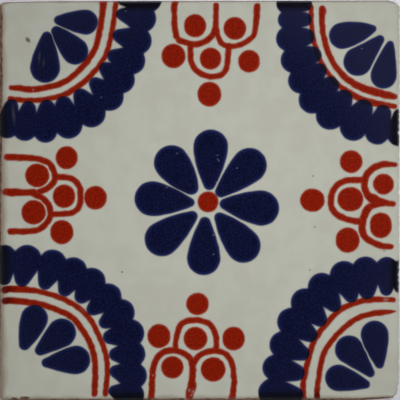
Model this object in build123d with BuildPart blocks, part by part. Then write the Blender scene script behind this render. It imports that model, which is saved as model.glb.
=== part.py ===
"""Square hand-painted wall tile of fired clay, glazed on its face, with a keyed back.

The tile lies on its back. The origin is the middle of the back, +Z is out of the
glazed face, and X and Y run along the sides. All sizes are in millimetres.
"""

import os

from build123d import *

# Driving dimensions of the slab
TILE_SIDE = 105.0  # across the back, before its arris is bevelled
TILE_THICKNESS = 7.0
SIDE_DRAFT = 2.0  # degrees by which the sides lean in towards the glazed face
CORNER_RADIUS = 1.6  # the four upright corners, on the back
CUSHION_RADIUS = 1.2  # the rounded arris round the glazed face
BACK_ARRIS = 0.4  # the worn lower arris, where the slab left its mould

# Driving dimensions of the keying grooves pressed into the back
GROOVE_COUNT = 8
GROOVE_WIDTH = 5.0  # at the mouth
GROOVE_DEPTH = 0.8
GROOVE_DRAFT = 30.0  # degrees by which a groove's walls lean in towards its floor
BACK_MARGIN = 8.0  # plain border between the sides and the grooves

# The grooves fill the back inside its border, at an even pitch.
keyed_width = TILE_SIDE - 2 * BACK_MARGIN
groove_pitch = (keyed_width - GROOVE_WIDTH) / (GROOVE_COUNT - 1)


# The slab: a rounded square that narrows towards its face, with a soft arris all
# round the glazed face and a small bevel all round the back.
with BuildPart() as tile:
    with BuildSketch(Plane.XY):
        RectangleRounded(TILE_SIDE, TILE_SIDE, CORNER_RADIUS)
    extrude(amount=TILE_THICKNESS, taper=SIDE_DRAFT)

    glazed_face = tile.faces().sort_by(Axis.Z)[-1]
    fillet(glazed_face.edges(), radius=CUSHION_RADIUS)

    back_face = tile.faces().sort_by(Axis.Z)[0]
    chamfer(back_face.edges(), length=BACK_ARRIS)

    # The keying: parallel round-ended grooves, each narrower at its floor than at
    # its mouth, so that the tile leaves the press and the mortar gets a grip.
    with BuildSketch(Plane.XY):
        with GridLocations(0, groove_pitch, 1, GROOVE_COUNT):
            SlotOverall(keyed_width, GROOVE_WIDTH)
    extrude(amount=GROOVE_DEPTH, taper=GROOVE_DRAFT, mode=Mode.SUBTRACT)

tile.part.label = "tile"

os.makedirs("parts", exist_ok=True)
export_step(tile.part, "parts/tile.step")
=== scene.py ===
"""Hand-painted talavera wall tile: a fired clay slab, tin-glazed and painted in cobalt blue and iron red.

The tile lies on its back with its painted face up. X runs to the right and Y to the top of the face as it
is looked at. Sizes and places are in millimetres from the middle of the tile's back, unless a comment says
that they are in metres.
"""

import math

import bmesh
import bpy
import numpy as np
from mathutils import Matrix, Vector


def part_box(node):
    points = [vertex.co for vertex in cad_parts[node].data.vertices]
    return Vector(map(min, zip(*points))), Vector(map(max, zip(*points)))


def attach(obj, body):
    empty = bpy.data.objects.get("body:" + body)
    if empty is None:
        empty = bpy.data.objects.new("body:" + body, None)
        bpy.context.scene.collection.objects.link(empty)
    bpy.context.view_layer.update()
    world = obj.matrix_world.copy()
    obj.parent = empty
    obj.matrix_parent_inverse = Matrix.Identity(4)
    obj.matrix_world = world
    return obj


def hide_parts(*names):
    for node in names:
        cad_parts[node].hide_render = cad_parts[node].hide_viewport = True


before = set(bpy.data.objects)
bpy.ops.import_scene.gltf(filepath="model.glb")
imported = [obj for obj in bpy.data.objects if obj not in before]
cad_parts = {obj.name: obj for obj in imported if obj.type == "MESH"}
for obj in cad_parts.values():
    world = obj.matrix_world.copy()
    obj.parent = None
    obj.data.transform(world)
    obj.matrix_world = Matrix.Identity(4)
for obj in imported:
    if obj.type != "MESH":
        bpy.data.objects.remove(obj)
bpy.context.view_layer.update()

# The clay slab: red earthenware, pressed into a mould with sides that lean in towards the face, and fired
# once before it is glazed. The arris round the face is soft, and eight grooves in the back give the mortar
# a grip.
MM_PER_METRE = 1000.0
SIDE_DRAFT = 2.0  # degrees
CORNER_RADIUS = 1.6
CUSHION_RADIUS = 1.2
BACK_ARRIS = 0.4
PAINT_ROOM = 0.1  # the bare face lies this far under the full thickness
FACE_CELLS = 255  # about 0.4 mm each, fine enough for the brush strokes
CUSHION_STEPS = 8
SIDE_STEPS = 14
GROOVE_COUNT = 8
GROOVE_WIDTH = 5.0
GROOVE_DEPTH = 0.8
GROOVE_DRAFT = 30.0  # degrees
BACK_MARGIN = 8.0
GROOVE_END_STEPS = 10

low, high = (np.array(corner) * MM_PER_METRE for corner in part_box("tile"))
half_width = (high[0] - low[0]) / 2
corner_centre = half_width - CORNER_RADIUS
face_height = high[2] - PAINT_ROOM

# The section of the arris, from the flat of the face round to the side, as outsets from the corner centres
side_lean = math.tan(math.radians(SIDE_DRAFT))
cushion_turn = np.radians(np.linspace(0, 90 - SIDE_DRAFT, CUSHION_STEPS + 1))
cushion_heights = face_height - CUSHION_RADIUS * (1 - np.cos(cushion_turn))
shoulder = cushion_heights[-1]
shoulder_outset = CORNER_RADIUS - (shoulder - BACK_ARRIS) * side_lean
cushion_outsets = shoulder_outset + CUSHION_RADIUS * (np.sin(cushion_turn) - np.sin(cushion_turn[-1]))

# The face and its arris are one grid of squares, whose corners are bent round into arcs.
arris_lines = corner_centre + cushion_outsets
face_lines = np.linspace(-corner_centre, corner_centre, FACE_CELLS + 1)
grid_lines = np.concatenate([-arris_lines[::-1], face_lines, arris_lines])
grid_x, grid_y = (sheet.ravel() for sheet in np.meshgrid(grid_lines, grid_lines))
over_x = np.maximum(np.abs(grid_x) - corner_centre, 0)
over_y = np.maximum(np.abs(grid_y) - corner_centre, 0)
outset = np.maximum(over_x, over_y)
bend = math.pi / 4 * np.minimum(over_x, over_y) / np.where(outset > 0, outset, 1)
along_x = np.where(over_x >= over_y, np.cos(bend), np.sin(bend)) * outset
along_y = np.where(over_x >= over_y, np.sin(bend), np.cos(bend)) * outset
base_x = np.clip(grid_x, -corner_centre, corner_centre)
base_y = np.clip(grid_y, -corner_centre, corner_centre)
face_points = np.column_stack([
    base_x + np.sign(grid_x) * along_x,
    base_y + np.sign(grid_y) * along_y,
    np.interp(outset, cushion_outsets, cushion_heights),
])

row = len(grid_lines)
numbers = np.arange(row * row).reshape(row, row)
face_quads = np.stack([numbers[:-1, :-1], numbers[:-1, 1:], numbers[1:, 1:], numbers[1:, :-1]], axis=-1)
face_quads = face_quads.reshape(-1, 4)

# The sides hang from the rim of that grid as rings, down to the bevel round the back.
rim = np.concatenate([numbers[0, :-1], numbers[:-1, -1], numbers[-1, :0:-1], numbers[:0:-1, 0]])
rim_base = np.column_stack([base_x, base_y])[rim]
rim_way = (face_points[rim, :2] - rim_base) / shoulder_outset
side_heights = np.linspace(shoulder, BACK_ARRIS, SIDE_STEPS + 1)[1:]
side_rings = [(CORNER_RADIUS - (height - BACK_ARRIS) * side_lean, height) for height in side_heights]
side_rings.append((CORNER_RADIUS - BACK_ARRIS, 0.0))
point_rings = [face_points]
quad_rings = []
above = rim
for ring_outset, ring_height in side_rings:
    below = np.arange(len(rim)) + sum(map(len, point_rings))
    point_rings.append(np.column_stack([rim_base + rim_way * ring_outset, np.full(len(rim), ring_height)]))
    quad_rings.append(np.stack([below, np.roll(below, -1), np.roll(above, -1), above], axis=-1))
    above = below
side_quads = np.vstack(quad_rings)

slab = bpy.data.meshes.new("painted_tile")
slab.from_pydata(np.vstack(point_rings).tolist(), [], np.vstack([face_quads, side_quads]).tolist())

# The back is filled in between its bevel and the mouths of the grooves, which narrow towards their floors.
sculpt = bmesh.new()
sculpt.from_mesh(slab)
sculpt.verts.ensure_lookup_table()
back_loops = [[sculpt.verts[i] for i in above]]
groove_reach = half_width - BACK_MARGIN - GROOVE_WIDTH / 2
groove_inset = GROOVE_DEPTH * math.tan(math.radians(GROOVE_DRAFT))
end_turns = np.radians(np.linspace(-90, 90, GROOVE_END_STEPS + 1))
for groove_y in np.linspace(-groove_reach, groove_reach, GROOVE_COUNT):
    rings = []
    for radius, depth in ((GROOVE_WIDTH / 2, 0.0), (GROOVE_WIDTH / 2 - groove_inset, GROOVE_DEPTH)):
        right = [
            (groove_reach + radius * math.cos(turn), groove_y + radius * math.sin(turn))
            for turn in end_turns
        ]
        left = [(-end_x, 2 * groove_y - end_y) for end_x, end_y in right]
        rings.append([sculpt.verts.new((end_x, end_y, depth)) for end_x, end_y in right + left])
    mouth, groove_floor = rings
    for i in range(len(mouth)):
        sculpt.faces.new([mouth[i - 1], mouth[i], groove_floor[i], groove_floor[i - 1]])
    sculpt.faces.new(groove_floor)
    back_loops.append(mouth)
back_edges = []
for loop in back_loops:
    for i in range(len(loop)):
        joined = [loop[i - 1], loop[i]]
        back_edges.append(sculpt.edges.get(joined) or sculpt.edges.new(joined))
bmesh.ops.triangle_fill(sculpt, use_beauty=True, edges=back_edges)
bmesh.ops.recalc_face_normals(sculpt, faces=sculpt.faces)
sculpt.to_mesh(slab)
sculpt.free()

# The slab is unrolled for baking: the face with its arris, a strip beside it for each side, and the back.
MAP_MARGIN = 0.01
FACE_SHARE = 0.74  # of the width of the map
STRIP_STARTS = np.array([0.765, 0.82])  # two above the face and two to its right
BACK_START = 0.77  # along both sides of the map
BACK_SHARE = 0.22

flat_arris = arris_lines[0] + CUSHION_RADIUS * cushion_turn
flat_lines = np.concatenate([-flat_arris[::-1], face_lines, flat_arris]) + flat_arris[-1]
flat_scale = FACE_SHARE / flat_lines[-1]
ring_depths = shoulder - np.array([shoulder] + [ring_height for ring_outset, ring_height in side_rings])
rim_order = np.zeros(row * row, int)
rim_order[rim] = np.arange(len(rim))
rim_order = np.concatenate([rim_order, np.tile(np.arange(len(rim)), len(side_rings))])
ring_order = np.repeat(np.arange(len(side_rings) + 1), [row * row] + [len(rim)] * len(side_rings))

loop_points = np.empty(len(slab.loops), int)
slab.loops.foreach_get("vertex_index", loop_points)
on_face, on_sides, on_back = np.split(loop_points, [face_quads.size, face_quads.size + side_quads.size])
face_map = np.column_stack([flat_lines[on_face % row], flat_lines[on_face // row]])
face_map = MAP_MARGIN + flat_scale * face_map
side_number = np.repeat(np.arange(len(side_quads)) % len(rim) // (row - 1), 4)
along_rim = flat_lines[(rim_order[on_sides] - side_number * (row - 1)) % len(rim)]
strip_map = np.column_stack([
    MAP_MARGIN + flat_scale * along_rim,
    STRIP_STARTS[side_number % 2] + flat_scale * ring_depths[ring_order[on_sides]],
])
side_map = np.where((side_number < 2)[:, None], strip_map, strip_map[:, ::-1])
coords = np.empty(len(slab.vertices) * 3)
slab.vertices.foreach_get("co", coords)
back_map = BACK_START + BACK_SHARE * (0.5 + coords.reshape(-1, 3)[on_back, :2] / (2 * half_width))
unrolled = np.vstack([face_map, side_map, back_map])
slab.uv_layers.new(name="OFBake").data.foreach_set("uv", unrolled.ravel())


# The rosette: eight petals of cobalt blue round a dot of iron red. A petal is one dab of a full, soft
# brush, set down at its narrow tip by the dot and pressed out to a broad round head.
DAB_BELLY = 1.35  # above 1 the sides of a dab bulge, as the brush spreads at once
DAB_STEPS = 24
PETALS = [  # tip x, y and width, then head x, y and width, and belly, clockwise from the top
    (2.8, 4.2, 3.0, 3.15, 14.1, 9.1, 1.5),
    (5.85, 2.25, 3.0, 13.4, 9.25, 9.1, 1.35),
    (7.0, -1.0, 2.9, 16.6, -2.1, 9.2, 1.4),
    (5.5, -4.6, 2.7, 11.8, -12.0, 9.0, 1.55),
    (1.6, -5.85, 2.85, 1.3, -15.4, 8.75),
    (-1.8, -4.3, 2.9, -9.75, -10.25, 9.1, 1.42),
    (-2.3, -0.6, 2.3, -12.35, 0.4, 9.15),
    (-2.0, 3.4, 3.8, -7.2, 9.9, 9.2, 1.7),
]
ROSETTE_DOT = (2.45, -0.45, 5.4, 5.45)  # x, y, width and height


def dab(tip_x, tip_y, tip_width, head_x, head_y, head_width, belly=DAB_BELLY):
    """The track of a brush pressed from a narrow tip out to a broad head, as rows of x, y and radius."""
    along = np.linspace(0, 1, DAB_STEPS)
    spread = 1 - (1 - along) ** belly
    x = tip_x + (head_x - tip_x) * along
    y = tip_y + (head_y - tip_y) * along
    radius = (tip_width + (head_width - tip_width) * spread) / 2
    return np.column_stack([x, y, radius])


def dot(x, y, width, height):
    """The track of a round dot, drawn out to an oval where its width and height differ."""
    radius = min(width, height) / 2
    reach_x = width / 2 - radius
    reach_y = height / 2 - radius
    return dab(x - reach_x, y - reach_y, 2 * radius, x + reach_x, y + reach_y, 2 * radius)


petals = [dab(*petal) for petal in PETALS]
dots = [dot(*ROSETTE_DOT)]


# The corner fans: two thin arcs of iron red cross each corner of the tile, with three cobalt leaves inside
# them and a row of cobalt dabs outside, each dab lapping over the one before it and over the arc.
FAN_LEAVES = [  # as the petals, three for each corner
    (-37.0, 47.6, 2.5, -29.95, 47.1, 6.5),
    (-37.7, 44.7, 2.7, -32.75, 39.4, 7.0),
    (-40.2, 43.2, 2.7, -40.65, 35.0, 7.8),
    (46.0, 45.35, 1.9, 37.95, 43.5, 6.9, 1.7),
    (47.9, 42.5, 2.3, 42.05, 36.65, 7.5, 0.95),
    (50.6, 41.1, 2.0, 48.85, 32.95, 6.8, 1.25),
    (47.8, -43.3, 2.4, 46.5, -35.55, 7.25),
    (45.35, -45.65, 2.3, 39.75, -39.5, 7.4, 1.0),
    (44.2, -48.7, 2.1, 36.9, -47.0, 6.9, 1.3),
    (-40.4, -43.0, 2.3, -32.5, -42.25, 7.5, 1.2),
    (-42.0, -39.7, 2.7, -36.25, -35.05, 7.5, 1.15),
    (-46.05, -38.2, 2.9, -43.5, -31.3, 7.1, 1.5),
]
FAN_DABS = [  # as the petals, corner by corner
    # upper left, from the left side to the top
    (-49.6, 24.8, 3.7, -50.7, 19.4, 6.0),
    (-45.1, 24.2, 4.0, -46.0, 18.8, 6.2),
    (-40.2, 24.4, 4.3, -40.6, 18.4, 6.3, 1.8),
    (-35.7, 25.2, 4.6, -34.45, 19.95, 7.3),
    (-31.25, 27.6, 3.9, -28.4, 23.05, 7.5),
    (-27.35, 30.8, 3.4, -23.6, 27.35, 7.4, 1.15),
    (-24.5, 34.7, 3.7, -20.6, 31.9, 7.3, 1.15),
    (-22.4, 38.1, 3.6, -17.8, 36.9, 7.2, 1.15),
    (-21.1, 43.5, 3.4, -16.15, 42.15, 7.25, 1.15),
    (-20.4, 49.2, 3.0, -14.9, 48.05, 7.2, 1.15),
    (-20.0, 53.0, 3.0, -13.4, 53.3, 7.2),
    # upper right, from the top to the right side
    (28.0, 51.9, 3.9, 23.1, 51.9, 5.0),
    (27.9, 47.8, 3.8, 23.35, 47.7, 4.8),
    (28.4, 43.2, 4.4, 23.75, 42.75, 6.6),
    (30.2, 38.4, 4.4, 25.15, 37.1, 6.9, 1.7),
    (31.8, 34.2, 4.1, 27.0, 31.6, 6.7, 1.9),
    (34.8, 30.4, 4.6, 30.0, 26.5, 7.1, 2.4),
    (38.3, 26.8, 4.8, 34.75, 22.4, 7.5, 2.4),
    (43.5, 24.2, 5.0, 40.9, 19.3, 7.1, 2.4),
    (48.7, 23.0, 4.3, 47.2, 18.0, 6.5),
    (53.0, 22.5, 3.2, 52.8, 17.4, 6.0, 1.2),
    # lower right, from the right side to the bottom
    (53.1, -23.1, 2.8, 53.2, -18.5, 5.0),
    (49.6, -23.7, 3.2, 49.7, -18.0, 5.9, 1.8),
    (44.5, -24.0, 4.3, 44.1, -18.55, 7.2, 1.8),
    (40.3, -25.2, 3.7, 38.4, -19.8, 7.4),
    (35.7, -27.6, 3.9, 32.6, -22.95, 7.4),
    (32.0, -31.5, 3.9, 28.1, -27.1, 7.5),
    (29.4, -35.55, 4.0, 24.5, -32.2, 7.4, 1.2),
    (27.35, -40.5, 3.9, 22.35, -38.25, 7.2, 1.3),
    (25.8, -45.6, 4.4, 20.4, -44.35, 7.0),
    (25.4, -51.5, 4.4, 19.5, -50.9, 7.5),
    # lower left, from the bottom to the left side
    (-22.4, -50.5, 3.0, -17.8, -51.5, 6.6),
    (-22.0, -45.3, 3.2, -17.2, -46.4, 6.9),
    (-22.0, -40.8, 3.5, -17.6, -40.7, 6.9, 1.15),
    (-23.5, -36.2, 3.7, -18.1, -35.2, 7.3, 1.15),
    (-24.8, -32.3, 3.3, -20.5, -29.7, 7.0, 1.15),
    (-28.0, -28.8, 3.4, -24.0, -25.6, 7.1, 1.15),
    (-31.0, -25.5, 3.7, -28.3, -21.5, 7.2),
    (-35.4, -23.6, 3.7, -33.2, -18.8, 7.3),
    (-40.6, -21.9, 3.6, -38.7, -16.75, 7.3),
    (-46.7, -20.9, 3.9, -45.4, -15.6, 7.5),
    (-51.4, -20.8, 3.3, -51.4, -15.2, 6.6),
]
FAN_ARCS = [  # width of the line, then the points it was drawn through, with a width of its own at some
    # upper left, inner and outer
    (1.6, [(-49.6, 29.8, 1.3), (-47.3, 29.6), (-44, 29.3), (-40, 29.9), (-36, 31.05), (-32.6, 33.45, 1.5),
           (-29.65, 36.6), (-27.5, 40), (-26.15, 45), (-25.45, 50), (-25.2, 53, 2.0)]),
    (1.35, [(-49.9, 26.8), (-47, 26.5), (-43, 26.4), (-38, 27.2), (-34, 28.7, 1.5), (-30.15, 31.5, 1.5),
            (-27.05, 34.75), (-24.85, 38), (-23.5, 42), (-22.65, 46.5), (-22.2, 50), (-21.9, 53)]),
    # upper right
    (1.5, [(32.75, 50.5, 1.9), (32.65, 49.2, 1.7), (32.6, 48), (32.75, 45), (33.25, 42.5), (33.9, 40),
           (35, 37.4), (36.55, 34.9), (39.05, 32.2, 1.7), (42.4, 30.1, 1.9), (45.9, 28.85, 2.1),
           (50, 27.75, 2.0), (51.8, 27.4, 1.4)]),
    (1.3, [(29.7, 51.2), (29.7, 49), (29.85, 46), (30.35, 42.5), (31.2, 39.5), (32.25, 36.7), (33.9, 34),
           (36.35, 31), (39.35, 28.75, 1.5), (42.95, 26.75, 1.7), (47, 25.55, 1.8), (51.8, 24.8, 1.3)]),
    # lower right
    (1.45, [(52.0, -29.35, 0.4), (50.4, -29.55, 1.0), (48.5, -29.7), (45, -30.2), (41.6, -31.45),
            (38.5, -33.7), (35.6, -36.7), (33.45, -39.8), (32.35, -43), (31.7, -47), (31.3, -50),
            (31.3, -53)]),
    (1.5, [(51.5, -26.4, 1.3), (49.4, -26.3, 1.2), (47.5, -26.2), (43.5, -26.6), (40, -27.7), (36.9, -29.4),
           (34.15, -32.3), (31.85, -35.1), (30.2, -37.95), (29.4, -40.5), (28.7, -43), (28.1, -46),
           (27.6, -49), (27.75, -53)]),
    # lower left
    (1.55, [(-51.3, -26.6, 1.75), (-49, -26.6, 1.75), (-45, -27, 1.65), (-41.5, -27.6), (-37.55, -29),
            (-33.4, -31.1), (-30.4, -34.9), (-28.5, -38.45), (-27.6, -42), (-27.4, -46), (-27.6, -51.2)]),
    (1.4, [(-51.3, -23.7, 1.8), (-49.5, -23.5, 1.8), (-46, -23.6, 1.8), (-42.5, -24.1), (-39, -25),
           (-35, -26.55), (-31.45, -28.75), (-28.55, -31.75), (-26.85, -35), (-25.3, -38.5), (-24.4, -42),
           (-24.2, -46), (-24.6, -50), (-24.7, -51.3)]),
]
LINE_STEPS = 12  # circles from one point of a line to the next


def line(width, points):
    """The track of a brushed line, drawn smoothly through its points, as rows of x, y and radius."""
    path = np.array([(*point, width)[:3] for point in points], float)
    before = np.vstack([2 * path[0] - path[1], path[:-2]])
    after = np.vstack([path[2:], 2 * path[-1] - path[-2]])
    start, end = path[:-1], path[1:]
    # Each stretch is a cubic that passes its two ends in line with the points before and after it.
    stretches = []
    for t in np.arange(LINE_STEPS) / LINE_STEPS:
        curve = 2 * start + (end - before) * t
        curve = curve + (2 * before - 5 * start + 4 * end - after) * t ** 2
        curve = curve + (3 * start - before - 3 * end + after) * t ** 3
        stretches.append(curve / 2)
    x, y, widths = np.vstack([np.stack(stretches, axis=1).reshape(-1, 3), path[-1]]).T
    return np.column_stack([x, y, widths / 2])


leaves = [dab(*leaf) for leaf in FAN_LEAVES]
fan_dabs = [dab(*fan_dab) for fan_dab in FAN_DABS]
lines = [line(*arc) for arc in FAN_ARCS]


# The side sprigs: at the middle of each side three hoops of iron red line, two open to the edge of the tile
# and one standing between them, with a dot in each hoop and three more outside.
SPRIG_LINES = [  # as the arcs of the fans
    # top
    (1.6, [(-6.1, 53), (-6.55, 51), (-6.45, 49, 1.4), (-6.45, 46.5), (-5.95, 43.3)]),
    (1.6, [(-5.3, 42.35), (-3.2, 41.6), (-1, 41.2), (0.85, 41.65), (2.7, 42.7), (3.95, 44.15), (4.5, 46)]),
    (1.4, [(4.55, 51.6), (4.55, 49), (4.5, 46.5), (5, 43.6), (5.95, 41.6), (7.6, 40.8), (9.7, 40.8),
           (11.6, 41.4), (13.3, 42.4), (14.4, 43.4), (14.9, 45.2), (15.2, 47.5, 1.6), (15.35, 50, 1.7),
           (15.45, 51.3, 1.7)]),
    (1.5, [(-2.2, 41), (-2.2, 38.9), (-2, 36.8), (-1.3, 35.1), (0.1, 33.7), (1.9, 32.95), (3.6, 32.65),
           (5.5, 33), (6.8, 33.95), (7.45, 35.6), (7.65, 37.6), (7.8, 39.3), (7.95, 40.8)]),
    # right
    (1.75, [(51.9, 9.35, 1.2), (49.9, 9.55, 1.5), (47.8, 9.25), (45.95, 8.35), (44.5, 6.85), (43.9, 5.2),
            (43.85, 3.3), (44.5, 1.7, 1.9), (45.8, 0.5, 2.5), (47.4, -0.2, 2.1), (49.8, -0.75, 1.5),
            (51.4, -0.95, 1.4)]),
    (1.7, [(48.6, -0.9), (47.3, -0.95), (45.8, -1.5), (44.6, -2.4, 2.0), (43.75, -4, 1.9), (43.45, -5.7),
           (43.2, -7.4, 1.9), (43.6, -9.2, 1.8), (44.85, -10.5), (46.8, -11.5, 1.6), (48.7, -12.15, 1.6),
           (50.9, -12.3, 1.3)]),
    (1.6, [(43.6, 5.35), (41.1, 5.3), (38.8, 5.15), (36.9, 4.1), (35.5, 2.5), (34.95, 0.1), (35.15, -1.9),
           (36.2, -3.5), (38.1, -4.65), (40.5, -5.35), (42.8, -5.7)]),
    # bottom
    (1.6, [(-12.55, -52.3), (-12.4, -49.8), (-12.3, -47.4), (-12.1, -44.9), (-11.6, -42.9), (-10.65, -41.2),
           (-9.1, -40.1), (-7, -39.7), (-5, -40.1), (-3.3, -40.95), (-2.1, -42.2), (-1.7, -44)]),
    (1.6, [(-1.6, -42.8), (-1.6, -45.5, 1.75), (-1.75, -47.6, 1.8), (-1.85, -49.4, 2.4), (-2.3, -50.8, 2.3),
           (-2.5, -52.4)]),
    (1.5, [(-1.5, -44), (-1.2, -42.9), (-0.4, -41.6), (1, -40.6), (3, -39.95), (4.9, -39.9), (6.75, -40.45),
           (8, -41.7), (8.85, -43.4), (9.2, -45.5), (9.35, -47.8), (9.2, -50.1), (8.8, -52.3, 1.8)]),
    (1.5, [(-6.15, -39.5, 1.35), (-6.1, -37.2, 1.4), (-5.5, -34.6, 1.6), (-4.5, -32.7), (-3, -31.95),
           (-0.8, -31.7), (1.3, -32.1), (2.85, -32.75), (3.85, -34.1), (4.5, -35.9), (4.65, -37.8, 1.4),
           (4.65, -39.5, 1.4)]),
    # left
    (1.6, [(-50.7, 11.4, 1.75), (-47.7, 11.3, 1.7), (-44.8, 11.2), (-42, 10.75), (-39.9, 9.95),
           (-38.6, 8.35), (-38.05, 6.4), (-38.25, 5), (-39.15, 3.85), (-40.5, 2.85), (-42.3, 2.2)]),
    (1.8, [(-51, 2.15, 1.9), (-49, 2.1, 2.1), (-46.8, 2.05), (-43.5, 2.05)]),
    (1.6, [(-44, 1.9), (-43.2, 1.45), (-41.6, 0.65), (-40.2, -0.5), (-39.4, -2.2), (-39.3, -4),
           (-40, -5.7), (-41.35, -7.1), (-43.2, -8), (-45.7, -8.25), (-48.3, -8.3), (-49.9, -8.25)]),
    (1.55, [(-37.8, 6.1), (-35.4, 6.1), (-33.6, 5.65), (-32.15, 4.5), (-31.4, 2.9), (-31.3, 0.3),
            (-31.75, -1.85), (-33.1, -3.15), (-35, -3.55), (-37, -3.65), (-39, -3.7)]),
]
SPRIG_DOTS = [  # x, y, width and height
    # top
    (-1.0, 46.15, 5.75, 6.05),
    (9.55, 45.45, 5.9, 5.95),
    (3.1, 37.45, 5.6, 5.75),
    (-6.7, 38.15, 6.25, 6.4),
    (13.3, 36.75, 5.65, 5.9),
    (2.8, 28.05, 6.2, 6.45),
    # right
    (48.85, 4.25, 5.4, 5.45),
    (48.15, -6.65, 5.65, 6.7),
    (40.1, 0.25, 6.8, 6.3),
    (30.05, 0.0, 6.4, 6.0),
    (40.3, 10.2, 5.95, 5.9),
    (39.35, -10.55, 6.2, 6.6),
    # bottom
    (-7.0, -44.2, 5.85, 5.85),
    (3.8, -44.75, 6.45, 6.35),
    (-0.9, -36.6, 6.2, 6.1),
    (-0.35, -27.45, 5.9, 5.85),
    (-10.55, -35.95, 6.05, 6.25),
    (9.2, -36.6, 5.85, 6.2),
    # left
    (-42.75, 6.55, 6.3, 6.15),
    (-43.7, -3.2, 6.4, 6.4),
    (-35.65, 1.05, 5.85, 6.1),
    (-27.35, 0.65, 5.9, 6.15),
    (-34.95, 11.25, 5.75, 6.0),
    (-36.25, -8.45, 6.0, 6.35),
]

lines += [line(*sprig_line) for sprig_line in SPRIG_LINES]
dots += [dot(*sprig_dot) for sprig_dot in SPRIG_DOTS]


# The glaze and the firing: an opaque off-white tin glaze is poured over the face and runs a little way down
# the sides, the strokes are painted on it while it is raw, and one firing fuses both to the clay.
STROKE_SCALE = 0.9886  # the strokes above were measured on a picture taken as 105.8 mm wide
PATTERN_SHIFT = (-0.133, 0.188)  # they sit a little off the middle of the tile
PAINT_DROP = 4.0  # how much sooner a stroke ends down the sides than on the face
FAR = 2.0  # distances to a stroke are not worked out past this
COBALT_THICKNESS = 0.05
RED_THICKNESS = 0.04
STROKE_RISE = (-0.1, 0.5)  # how far inside its outline a stroke starts to rise and is at its full thickness
RIM_BLUR = 0.3  # to each side of the outline of the cobalt
RIM_PASSES = 4  # each softens the rim of the cobalt by about half a millimetre
WASH_FROM_MIDDLE = (35.0, 62.0)  # how far out the cobalt starts to thin and is thinnest
WASH_TO_UPPER_RIGHT = (-20.0, 70.0)  # the same, as the sum of x and y
WASH_EVERYWHERE = 0.4  # the share of the thinning that all four corners have
DAB_FRINGE = 0.6  # how far outside a dab its dark end on the arris still counts
# Painted shade: the ends of the fan dabs are drawn darker on the arris, where it turns away from the light.
ARRIS_SHADE_FADE = (0.5, 3.8)  # how far in from the edge the dark end of a dab starts to fade and has gone
GLAZE_THICKNESS = 0.08
THIN_SAG = 0.2  # how far the face sinks where the glaze is thinnest
GLAZE_BEAD = (-0.1, 0.4)  # how far inside its end the glaze starts to rise and is at its full thickness
BARE_UP_TO = 1.5  # no glaze reaches lower than this above the back
EDGE_BLEND = 1.0  # how far two sides run into each other at their corner
# For each side, how far in the glaze starts to thin, how far in the clay is bare, below 0 where that is
# down the side, and how much further in it is bare at the upper or right end than at the middle. The wide
# bands on the left and bottom are partly painted shade, as those sides turn away from the light.
EDGES = {
    "left": (3.0, 0.52, 0.38),
    "right": (0.1, -1.2, 0.0),
    "bottom": (2.0, 0.6, 0.0),
    "top": (0.6, -0.25, 0.0),
}
CHIPS = [  # x, y, width and height of the places where the glaze is knocked off the edge
    (-48.9, -52.7, 1.6, 1.0),
    (-46.0, -52.5, 2.6, 1.2),
    (51.6, -52.1, 1.0, 0.6),
]
CHIP_DEPTH = 0.15
CHIP_WALL = 0.3  # width of the slope round a chip
CORNER_MOVES = {  # how far each corner came out of the kiln from the square of the mould, along X and Y
    (-1, 1): (0.0, -0.1),
    (1, 1): (0.0, 0.1),
    (1, -1): (-0.12, 0.1),
    (-1, -1): (0.0, -0.15),
}
CORNER_CUTS = [  # corners that are knocked off, and how far from the corner each cut starts, along X and Y
    ((-1, 1), (14.0, 0.3)),
    ((1, 1), (3.2, 1.0)),
    ((1, -1), (10.0, 0.9)),
    ((1, -1), (1.0, 5.0)),
]
CUT_DEPTH = 1.5  # how far in the clay is pushed together behind a cut
NIBBLE_REACH = (1.5, 0.3)  # how far in from the right side its nibbles start and are whole
CREASE = 40.0  # degrees between two faces that makes the edge between them a sharp one
UNEVENNESS = {  # how much, the length of its waves, and the seed of its draw
    "strokes_x": (0.04, 3.0, 1),
    "strokes_y": (0.04, 3.0, 2),
    "thin_and_shade_wander": (0.25, 9.0, 3),  # a share of the width
    "glaze_end": (0.12, 8.0, 4),
    "glaze_drips": (0.1, 2.5, 5),
    "face": (0.02, 24.0, 6),
    "red_lines": (0.08, 1.9, 7),
    "right_side": (0.2, 1.8, 8),
}
RIPPLE_WAVES = 7
RIPPLE_LENGTHS = (0.7, 1.4)  # shortest and longest wave, as shares of the length that is given
RIPPLE_PEAK = 4.0  # the waves seldom add up to more than this


def ripple(name, x, y):
    """One kind of unevenness over the tile, up and down about as far as its amount."""
    amount, length, seed = UNEVENNESS[name]
    draw = np.random.default_rng(seed)
    total = 0
    for heading in draw.uniform(0, 2 * math.pi, RIPPLE_WAVES):
        wave = length * draw.uniform(*RIPPLE_LENGTHS)
        phase = draw.uniform(0, 2 * math.pi)
        along = x * math.cos(heading) + y * math.sin(heading)
        total = total + np.sin(along * 2 * math.pi / wave + phase)
    return amount * total / RIPPLE_PEAK


def reach(strokes, x, y):
    """How far each place lies outside the nearest of the strokes, below 0 where it is inside one."""
    nearest = np.full(len(x), FAR)
    for stroke in strokes:
        stroke = stroke * STROKE_SCALE + (*PATTERN_SHIFT, 0.0)
        least = (stroke[:, :2] - stroke[:, 2:]).min(axis=0) - FAR
        most = (stroke[:, :2] + stroke[:, 2:]).max(axis=0) + FAR
        near = np.flatnonzero((x > least[0]) & (x < most[0]) & (y > least[1]) & (y < most[1]))
        for centre_x, centre_y, radius in stroke:
            away = np.hypot(x[near] - centre_x, y[near] - centre_y) - radius
            nearest[near] = np.minimum(nearest[near], away)
    return nearest


def ease(value, start, end):
    """Go smoothly from 0 at start to 1 at end."""
    t = np.clip((value - start) / (end - start), 0, 1)
    return t * t * (3 - 2 * t)


x, y, z = coords.reshape(-1, 3).T
in_from = {"left": half_width + x, "right": half_width - x, "bottom": half_width + y, "top": half_width - y}

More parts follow.
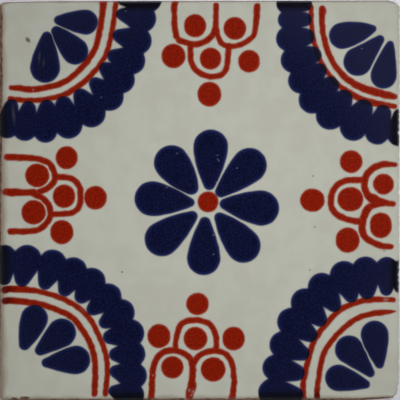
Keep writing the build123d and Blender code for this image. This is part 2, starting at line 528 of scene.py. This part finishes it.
# The slab is a little out of square, some of its corners are knocked off, and its right side is nibbled.
shift_x = 0
shift_y = 0
for (way_x, way_y), (move_x, move_y) in CORNER_MOVES.items():
    nearness = (1 + way_x * x / half_width) * (1 + way_y * y / half_width) / 4
    shift_x = shift_x + nearness * move_x
    shift_y = shift_y + nearness * move_y
for (way_x, way_y), (cut_x, cut_y) in CORNER_CUTS:
    cut_length = math.hypot(cut_x, cut_y)
    cut_off = cut_x * cut_y / cut_length
    short_x, short_y = half_width - way_x * x, half_width - way_y * y
    past_cut = cut_off - (short_x * cut_y + short_y * cut_x) / cut_length
    along_cut = (short_x * cut_x - short_y * cut_y) / cut_length
    # What stands out past the cut is pushed back to it, and the clay behind gives way less and less.
    stands_out = cut_off - np.maximum(along_cut * cut_y / cut_x, -along_cut * cut_x / cut_y)
    stands_out = np.maximum(stands_out, 0)
    push = stands_out * np.clip((past_cut + CUT_DEPTH) / (stands_out + CUT_DEPTH), 0, 1)
    shift_x = shift_x - way_x * push * cut_y / cut_length
    shift_y = shift_y - way_y * push * cut_x / cut_length
nibbled = np.maximum(ripple("right_side", 0, y), 0) * ease(in_from["right"], *NIBBLE_REACH)
x = x + shift_x - nibbled
y = y + shift_y

# Where the paint lies. Strokes side by side are in separate layers, so that thin gaps between them show.
wobble_x = x + ripple("strokes_x", x, y)
wobble_y = y + ripple("strokes_y", x, y)
off_face = PAINT_DROP * np.maximum(shoulder - z, 0)
layers = {
    "petals_first": reach((petals + leaves)[0::2], wobble_x, wobble_y) + off_face,
    "petals_second": reach((petals + leaves)[1::2], wobble_x, wobble_y) + off_face,
    "dabs_first": reach(fan_dabs[0::2], wobble_x, wobble_y) + off_face,
    "dabs_second": reach(fan_dabs[1::2], wobble_x, wobble_y) + off_face,
    "red_lines": reach(lines, wobble_x, wobble_y) + off_face + ripple("red_lines", x, y),
    "red_dots": reach(dots, wobble_x, wobble_y) + off_face,
}
# The cobalt is palest along the outline of the painted area, but not between dabs that lap.
cobalt_layers = ("petals_first", "petals_second", "dabs_first", "dabs_second")
cobalt = np.min([layers[name] for name in cobalt_layers], axis=0)
soft_cover = ease(cobalt[:row * row], -RIM_BLUR, RIM_BLUR).reshape(row, row)
for softening in range(RIM_PASSES):
    soft_cover = (np.roll(soft_cover, 1, 0) + 2 * soft_cover + np.roll(soft_cover, -1, 0)) / 4
    soft_cover = (np.roll(soft_cover, 1, 1) + 2 * soft_cover + np.roll(soft_cover, -1, 1)) / 4
layers["rim"] = np.zeros(len(x))
layers["rim"][:row * row] = np.clip(2 * soft_cover.ravel(), 0, 1)
# The cobalt is laid on thinnest towards the corners, and most of all at the upper right.
upper_right = (1 - WASH_EVERYWHERE) * ease(x + y, *WASH_TO_UPPER_RIGHT)
layers["wash"] = ease(np.hypot(x, y), *WASH_FROM_MIDDLE) * (WASH_EVERYWHERE + upper_right)

# How far in from the edge a place lies, how thin the glaze is there, and how far it is inside the glaze's
# end. All three are measured over the arris and on down the sides. The thinning also paints the shade
# along the left and bottom edges.
in_from_shoulder = np.min(list(in_from.values()), axis=0) - (CORNER_RADIUS - shoulder_outset)
edge_depth = in_from_shoulder - np.maximum(shoulder - z, 0)
share = {name: np.exp(-depth / EDGE_BLEND) for name, depth in in_from.items()}
along_side = {"left": y, "right": y, "bottom": x, "top": x}
thin_and_shade_from = 0
clay_until = 0
for name, (side_thin, side_bare, side_growth) in EDGES.items():
    side_share = share[name] / sum(share.values())
    thin_and_shade_from = thin_and_shade_from + side_share * side_thin
    clay_until = clay_until + side_share * (side_bare + side_growth * along_side[name] / half_width)
# Painted shade: the fan dabs are drawn darker towards their ends on the arris.
on_dab = ease(-np.minimum(layers["dabs_first"], layers["dabs_second"]), -DAB_FRINGE, 0)
layers["arris"] = on_dab * (1 - ease(edge_depth, *ARRIS_SHADE_FADE))
layers["thinness"] = 1 - ease(edge_depth, 0, thin_and_shade_from * (1 + ripple("thin_and_shade_wander", x, y)))
inside_glaze = edge_depth - clay_until + ripple("glaze_end", x, y) + ripple("glaze_drips", x, y)
chip_reach = reach([dot(*chip) for chip in CHIPS], wobble_x, wobble_y)
layers["glaze"] = np.where(z > BARE_UP_TO, np.minimum(inside_glaze, chip_reach), -FAR)

# Relief: the strokes stand up from the glaze, the face waves a little, and the glaze sags where it is thin,
# is knocked out at the chips, and ends in a low bead on the sides.
up = ease(z, shoulder, face_height)
cobalt_cover = ease(-cobalt, *STROKE_RISE)
red_cover = ease(-np.minimum(layers["red_lines"], layers["red_dots"]), *STROKE_RISE)
lift = np.maximum(COBALT_THICKNESS * cobalt_cover, RED_THICKNESS * red_cover)
lift = lift + ripple("face", x, y) - THIN_SAG * layers["thinness"] ** 2
lift = lift - CHIP_DEPTH * ease(-chip_reach, 0, CHIP_WALL)
on_side = (1 - up) * ease(inside_glaze, *GLAZE_BEAD) * (z > BACK_ARRIS)
room = np.clip((z - BACK_ARRIS) * side_lean, 0, GLAZE_THICKNESS)
z = z + up * lift
x = np.clip(x + np.where(np.abs(x) > corner_centre, np.sign(x), 0) * on_side * room, low[0], high[0])
y = np.clip(y + np.where(np.abs(y) > corner_centre, np.sign(y), 0) * on_side * room, low[1], high[1])

slab.vertices.foreach_set("co", (np.column_stack([x, y, z]) / MM_PER_METRE).ravel())
for name, values in layers.items():
    slab.attributes.new(name, "FLOAT", "POINT").data.foreach_set("value", values)
slab.shade_smooth()
slab.set_sharp_from_angle(angle=math.radians(CREASE))
slab.update()


def linear(colour):
    """An sRGB hex colour as linear red, green, blue and alpha."""
    channels = [int(colour[i:i + 2], 16) / 255 for i in (1, 3, 5)]
    return [c / 12.92 if c <= 0.04045 else ((c + 0.055) / 1.055) ** 2.4 for c in channels] + [1.0]


def node(tree, kind, inputs=None, **settings):
    """Add a node to a tree. Each of its inputs takes a value, or a link from another node's output."""
    made = tree.nodes.new(kind)
    for name, value in settings.items():
        setattr(made, name, value)
    for key, value in (inputs or {}).items():
        if isinstance(value, bpy.types.NodeSocket):
            tree.links.new(value, made.inputs[key])
        else:
            made.inputs[key].default_value = value
    return made


# Painted tin glaze on terracotta: the glaze is glossy and faintly mottled, the cobalt has sunk into it and
# is palest at its rims, the iron red is grainy and a little less glossy, and the clay is matt and gritty.
GLAZE_PALE = "#B6B7AB"
GLAZE_DULL = "#B1B1A5"
# thin glaze over the clay, and partly painted shade along the left and bottom edges
GLAZE_THIN_AND_SHADE = "#8A7D6E"
COBALT_DEEP = "#050821"
COBALT_PALE = "#12173A"
COBALT_DENSE = "#06081F"  # where the brush left more of it
COBALT_WASH = "#1B1D39"  # where it is laid on thin
COBALT_RIM = "#1E2553"
RED_DEEP = "#6D1002"
RED_PALE = "#8B1C07"
RED_RIM = "#98351F"
# painted shade on the red line ends at the left and bottom edges
RED_EDGE_SHADE = "#540A02"  # at the ends of some lines
LAPPED = "#120F1C"  # cobalt over red
# painted shade on the cobalt where the dabs run over the arris
COBALT_EDGE_SHADE = "#0B0A12"  # on the arris
COBALT_FLECK = "#9AA6C0"  # a film over the glaze
SPECK = "#5A4640"
CLAY_PALE = "#7C5E4D"
CLAY_DARK = "#50382E"
GLAZE_IOR = 1.5
GLAZE_ROUGHNESS = 0.13
RED_ROUGHNESS = 0.16
THIN_ROUGHNESS = 0.5
CLAY_ROUGHNESS = 0.85
STROKE_EDGE = 0.27  # mm to each side over which a stroke's edge blurs
STROKE_SPREAD = 0.1  # mm by which the paint ran out in the kiln
WEB = 0.8  # mm over which paint runs together between two dabs
RED_RAGGED = 0.2  # mm by which the edges of the red wander
GLAZE_RAGGED = 0.5  # mm by which the end of the glaze wanders
WASH_BRUSHED = 0.5  # how much the marks of the brush show where the cobalt is thin
BUMP_STRENGTH = 0.2
BUMP_HEIGHT = 0.1  # mm
# Width of the blotches in mm, and how many finer ones they hold. The grain of the red and the grit of the
# clay are really under 0.1 mm, which is too fine to show, so rust and grit are drawn coarser.
GRAINS = {
    "mottle": (5.0, 3.0),
    "brush": (1.6, 3.0),
    "rust": (0.5, 2.0),
    "ragged": (0.7, 2.0),
    "clay": (1.2, 4.0),
    "peel": (1.4, 2.0),
    "grit": (0.4, 4.0),
}
BARE_FLECKS = [  # x, y, length, width and heading in degrees of spots where the paint drew back
    (5.2, 10.6, 1.4, 0.4, -50),
    (4.9, 11.9, 0.5, 0.4, 0),
    (10.1, 8.5, 0.6, 0.5, 0),
    (4.7, 4.7, 0.9, 0.35, -50),
    (3.9, -9.2, 0.9, 0.5, -65),
    (3.9, -14.3, 0.7, 0.5, 0),
    (-8.5, 3.4, 0.6, 0.4, 0),
    (-5.7, 12.4, 0.8, 0.3, 60),
    (43.1, 40.1, 0.6, 0.5, 0),
    (-43.8, 29.2, 0.9, 0.6, 70),
    (-25.8, 27.2, 0.5, 0.4, 0),
    (-19.3, 50.0, 0.6, 0.4, 0),
    (-12.1, -46.3, 1.0, 0.5, 70),
    (47.0, 2.4, 0.9, 0.6, 30),
    (-1.5, -50.6, 1.3, 0.6, 60),
    (-2.0, -51.6, 0.9, 0.6, 0),
    (-2.7, -50.1, 0.5, 0.4, 0),
    (-1.2, -51.5, 0.7, 0.4, 90),
    (-2.5, -50.3, 1.3, 0.7, 60),
    (49.5, -26.3, 1.8, 0.8, 5),
]
THIN_STREAKS = [  # the same, of streaks where the paint is thin or worn
    (-49.0, 22.8, 7.0, 1.1, 95),
    (-42.2, 37.8, 4.0, 0.9, 85),
    (-41.0, 36.4, 3.0, 0.6, 85),
    (49.5, -26.3, 2.2, 1.2, 5),
    (-1.6, -50.8, 3.0, 2.2, 75),
    (46.7, 1.9, 2.0, 1.2, 30),
    (-30.9, -28.9, 2.0, 1.2, -40),
]
SHADED_LINE_ENDS = [  # the same, of the ends of red lines at the left and bottom edges, drawn dark as painted shade
    (-51.4, -26.6, 6.0, 3.0, 0),
    (-51.4, -23.6, 6.0, 3.0, 0),
    (31.3, -51.8, 4.0, 3.0, 90),
]
DARK_SPECKS = [  # the same, of pinholes and specks of dirt in the glaze
    (-45.2, 42.4, 1.7, 1.1, -50),
    (-20.3, -19.0, 0.5, 0.5, 0),
    (30.7, -7.1, 0.5, 0.4, 0),
    (29.4, -18.5, 0.5, 0.4, 0),
    (49.0, -13.4, 0.5, 0.4, 0),
    (30.2, 6.4, 0.5, 0.4, 0),
]
MARK_FAR = 9.0  # times its own size from a mark, where it no longer counts
ALL_HEIGHTS = 1e6  # a mark counts the same at every height

glazed = bpy.data.materials.new("painted tin glaze on terracotta")
glazed.use_nodes = True
tree = glazed.node_tree
tree.nodes.clear()
place = node(tree, "ShaderNodeTexCoord").outputs["Object"]
mm = node(tree, "ShaderNodeVectorMath", {0: place, "Scale": MM_PER_METRE}, operation="SCALE").outputs[0]
measure = {}
for name in layers:
    measure[name] = node(tree, "ShaderNodeAttribute", attribute_name=name).outputs["Fac"]
# Each grain has its own W, so that no two of them look alike.
grain = {}
for name, (size, detail) in GRAINS.items():
    texture = {"Vector": mm, "Scale": 1 / size, "Detail": detail, "W": float(len(grain))}
    grain[name] = node(tree, "ShaderNodeTexNoise", texture, noise_dimensions="4D").outputs[0]
spots = {}
kinds = {"flecks": BARE_FLECKS, "streaks": THIN_STREAKS, "line_end_shade": SHADED_LINE_ENDS, "specks": DARK_SPECKS}
for kind, marks in kinds.items():
    nearest = MARK_FAR
    for mark_x, mark_y, length, width, heading in marks:
        mark_place = np.array((mark_x, mark_y)) * STROKE_SCALE + PATTERN_SHIFT
        turned = node(tree, "ShaderNodeMapping", {
            "Vector": mm, "Location": (*mark_place, 0.0), "Rotation": (0.0, 0.0, math.radians(heading)),
            "Scale": (length / 2, width / 2, ALL_HEIGHTS)}, vector_type="TEXTURE").outputs[0]
        away = node(tree, "ShaderNodeVectorMath", {0: turned}, operation="LENGTH").outputs["Value"]
        nearest = node(tree, "ShaderNodeMath", {0: nearest, 1: away}, operation="MINIMUM").outputs[0]
    spots[kind] = nearest

# How far a place lies outside the paint, with paint run together between dabs and the red lines ragged
dabs_away = node(tree, "ShaderNodeMath", {
    0: measure["dabs_first"], 1: measure["dabs_second"], 2: WEB}, operation="SMOOTH_MIN").outputs[0]
petals_away = node(tree, "ShaderNodeMath", {
    0: measure["petals_first"], 1: measure["petals_second"]}, operation="MINIMUM").outputs[0]
cobalt_away = node(tree, "ShaderNodeMath", {0: dabs_away, 1: petals_away}, operation="MINIMUM").outputs[0]
red_away = node(tree, "ShaderNodeMath", {
    0: measure["red_lines"], 1: measure["red_dots"]}, operation="MINIMUM").outputs[0]
red_ragged = node(tree, "ShaderNodeMath", {
    0: grain["ragged"], 1: RED_RAGGED, 2: red_away}, operation="MULTIPLY_ADD").outputs[0]
glaze_end = node(tree, "ShaderNodeMath", {
    0: grain["ragged"], 1: GLAZE_RAGGED, 2: measure["glaze"]}, operation="MULTIPLY_ADD").outputs[0]
cobalt_wash = node(tree, "ShaderNodeMath", {
    0: grain["brush"], 1: WASH_BRUSHED, 2: measure["wash"]}, operation="MULTIPLY_ADD").outputs[0]

# The share of each finish at a place, which goes from 0 to 1 between two levels of a measure
part = {}
for name, (level, start, end) in {
    "mottle": (grain["mottle"], 0.35, 0.65),
    "thin": (measure["thinness"], 0.0, 1.0),
    "rust": (grain["rust"], 0.3, 0.7),
    "red_rim": (red_ragged, -0.6, 0.6),
    "red": (red_ragged, 2 * STROKE_SPREAD + STROKE_EDGE, 2 * STROKE_SPREAD - STROKE_EDGE),
    "cobalt": (cobalt_away, STROKE_SPREAD + STROKE_EDGE, STROKE_SPREAD - STROKE_EDGE),
    "cobalt_dense": (grain["brush"], 0.5, 0.8),
    "cobalt_wash": (cobalt_wash, 0.2, 1.4),
    "cobalt_rim": (measure["rim"], 0.0, 1.0),
    "cobalt_edge_shade": (measure["arris"], 0.0, 1.0),
    "flecks": (spots["flecks"], 1.3, -1.9),
    "streaks": (spots["streaks"], 1.3, -6.0),
    "line_end_shade": (spots["line_end_shade"], 1.2, 0.2),
    "specks": (spots["specks"], 1.5, 0.1),
    "clay": (grain["clay"], 0.35, 0.65),
    "bare": (glaze_end, 0.35, 0.15),
}.items():
    levels = {0: level, 1: start, 2: end}
    part[name] = node(tree, "ShaderNodeMapRange", levels, interpolation_type="SMOOTHSTEP").outputs[0]

# The colours are laid over each other, each by its own share. The cobalt comes after the bare clay, because
# its dabs run on over the arris. A Mix node takes its colours at 6 and 7, and its numbers at 2 and 3.
tone = {}
for name, under, over, amount in (
    ("glaze", linear(GLAZE_PALE), linear(GLAZE_DULL), "mottle"),
    # thin glaze, and painted shade along the left and bottom edges
    ("glaze", "glaze", linear(GLAZE_THIN_AND_SHADE), "thin"),
    ("red", linear(RED_DEEP), linear(RED_PALE), "rust"),
    ("red", "red", linear(RED_RIM), "red_rim"),
    ("red", "red", linear(RED_EDGE_SHADE), "line_end_shade"),
    ("red", "red", "glaze", "flecks"),
    ("cobalt", linear(COBALT_DEEP), linear(COBALT_PALE), "rust"),
    ("cobalt", "cobalt", linear(COBALT_DENSE), "cobalt_dense"),
    ("cobalt", "cobalt", linear(COBALT_WASH), "cobalt_wash"),
    ("cobalt", "cobalt", linear(COBALT_RIM), "cobalt_rim"),
    ("cobalt", "cobalt", linear(LAPPED), "red"),
    # painted shade on the dab ends over the arris
    ("cobalt", "cobalt", linear(COBALT_EDGE_SHADE), "cobalt_edge_shade"),
    ("cobalt", "cobalt", linear(COBALT_FLECK), "flecks"),
    ("clay", linear(CLAY_DARK), linear(CLAY_PALE), "clay"),
    ("surface", "glaze", "red", "red"),
    ("surface", "surface", "clay", "bare"),
    ("surface", "surface", "cobalt", "cobalt"),
    ("surface", "surface", "glaze", "streaks"),
    ("surface", "surface", linear(SPECK), "specks"),
):
    under, over = (tone[colour] if isinstance(colour, str) else colour for colour in (under, over))
    colours = {0: part[amount], 6: under, 7: over}
    tone[name] = node(tree, "ShaderNodeMix", colours, data_type="RGBA").outputs[2]

roughness = GLAZE_ROUGHNESS
for name, finish in (("red", RED_ROUGHNESS), ("thin", THIN_ROUGHNESS), ("bare", CLAY_ROUGHNESS)):
    gloss = {0: part[name], 2: roughness, 3: finish}
    roughness = node(tree, "ShaderNodeMix", gloss, data_type="FLOAT").outputs[0]
skin = {0: part["bare"], 2: grain["peel"], 3: grain["grit"]}
skin_height = node(tree, "ShaderNodeMix", skin, data_type="FLOAT").outputs[0]
bump = node(tree, "ShaderNodeBump", {
    "Height": skin_height, "Strength": BUMP_STRENGTH, "Distance": BUMP_HEIGHT / MM_PER_METRE}).outputs[0]
shader = node(tree, "ShaderNodeBsdfPrincipled", {
    "Base Color": tone["surface"], "Roughness": roughness, "Normal": bump, "IOR": GLAZE_IOR})
node(tree, "ShaderNodeOutputMaterial", {"Surface": shader.outputs[0]})
slab.materials.append(glazed)

tile = bpy.data.objects.new("painted_tile", slab)
bpy.context.scene.collection.objects.link(tile)
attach(tile, "root")
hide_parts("tile")


# The studio: a pale paper floor, a soft spot at the upper right that fades towards the corners of the tile,
# two soft lamps to fill in from the other sides, and a camera that looks straight down through a long lens.
FLOOR_COLOUR = "#F2F2F8"
FLOOR_SIDE = 3.0  # metres
PAPER_ROUGHNESS = 0.9
SKY_COLOUR = "#FFFFFF"
SKY_TOP = 0.02  # strength straight above
SKY_RIM = 0.35  # strength at the horizon
SKY_FADE = 0.8  # how high up, of 1 straight above, the sky is as dim as at its top
SPOT_PLACE = (0.18, 0.16, 0.42)  # metres
SPOT_AIM = (0.012, 0.002, 0.0)  # metres
SPOT_CONE = 23.0  # degrees
SPOT_BLEND = 1.0  # it fades all the way from its middle
SPOT_RADIUS = 0.03  # metres
SPOT_POWER = 4.08  # watts
LAMP_SIZE = 0.5  # metres
LAMP_AIM = (0.0, 0.0, 0.0)  # metres
LAMPS = [  # x, y and z in metres, and power in watts
    (-0.28, 0.24, 0.36, 1.46),
    (0.22, -0.28, 0.36, 1.22),
]
CAMERA_HEIGHT = 1.2  # metres above the face
FRAME_WIDTH = 104.6  # mm of the face that the picture spans
FRAME_MIDDLE = (0.18, 0.24)  # mm
SENSOR = 36.0  # mm

paper = bpy.data.materials.new("pale paper")
paper.use_nodes = True
paper.node_tree.nodes["Principled BSDF"].inputs["Base Color"].default_value = linear(FLOOR_COLOUR)
paper.node_tree.nodes["Principled BSDF"].inputs["Roughness"].default_value = PAPER_ROUGHNESS
floor_mesh = bpy.data.meshes.new("floor")
floor_ways = ((-1, -1), (1, -1), (1, 1), (-1, 1))
floor_corners = [(way_x * FLOOR_SIDE / 2, way_y * FLOOR_SIDE / 2, 0.0) for way_x, way_y in floor_ways]
floor_mesh.from_pydata(floor_corners, [], [(0, 1, 2, 3)])
floor_mesh.materials.append(paper)
floor = bpy.data.objects.new("floor", floor_mesh)
bpy.context.scene.collection.objects.link(floor)

spot = bpy.data.lights.new("spot", "SPOT")
spot.spot_size = math.radians(SPOT_CONE)
spot.spot_blend = SPOT_BLEND
spot.shadow_soft_size = SPOT_RADIUS
spot.energy = SPOT_POWER
lights = [(spot, SPOT_PLACE, SPOT_AIM)]
for number, (lamp_x, lamp_y, lamp_z, power) in enumerate(LAMPS):
    fill = bpy.data.lights.new(f"fill_{number}", "AREA")
    fill.size = LAMP_SIZE
    fill.energy = power
    lights.append((fill, (lamp_x, lamp_y, lamp_z), LAMP_AIM))
for light, light_place, aim in lights:
    lamp = bpy.data.objects.new(light.name, light)
    lamp.location = light_place
    back_x, back_y, back_z = np.subtract(light_place, aim)
    tilt = math.acos(back_z / math.hypot(back_x, back_y, back_z))
    lamp.rotation_euler = (tilt, 0.0, math.atan2(back_x, -back_y))
    lamp.visible_camera = False
    # Only the spot shines back from the glaze, because the wide lamps would draw bright lines on the arris.
    lamp.visible_glossy = light is spot
    bpy.context.scene.collection.objects.link(lamp)

sky = bpy.data.worlds.new("studio")
sky.use_nodes = True
sky.node_tree.nodes.clear()
way = node(sky.node_tree, "ShaderNodeTexCoord").outputs["Generated"]
rise = node(sky.node_tree, "ShaderNodeSeparateXYZ", {0: way}).outputs["Z"]
fade = {0: rise, 1: 0.0, 2: SKY_FADE, 3: SKY_RIM, 4: SKY_TOP}
brightness = node(sky.node_tree, "ShaderNodeMapRange", fade, interpolation_type="SMOOTHSTEP").outputs[0]
light_of_sky = {"Strength": brightness, "Color": linear(SKY_COLOUR)}
glow = node(sky.node_tree, "ShaderNodeBackground", light_of_sky).outputs[0]
node(sky.node_tree, "ShaderNodeOutputWorld", {"Surface": glow})
bpy.context.scene.world = sky

lens = bpy.data.cameras.new("camera")
lens.sensor_width = SENSOR
lens.lens = SENSOR * CAMERA_HEIGHT * MM_PER_METRE / FRAME_WIDTH
camera = bpy.data.objects.new("camera", lens)
camera_x, camera_y, camera_foot = np.array([*FRAME_MIDDLE, face_height]) / MM_PER_METRE
camera.location = (camera_x, camera_y, camera_foot + CAMERA_HEIGHT)
bpy.context.scene.collection.objects.link(camera)
bpy.context.scene.camera = camera
bpy.context.scene.view_settings.view_transform = "Standard"
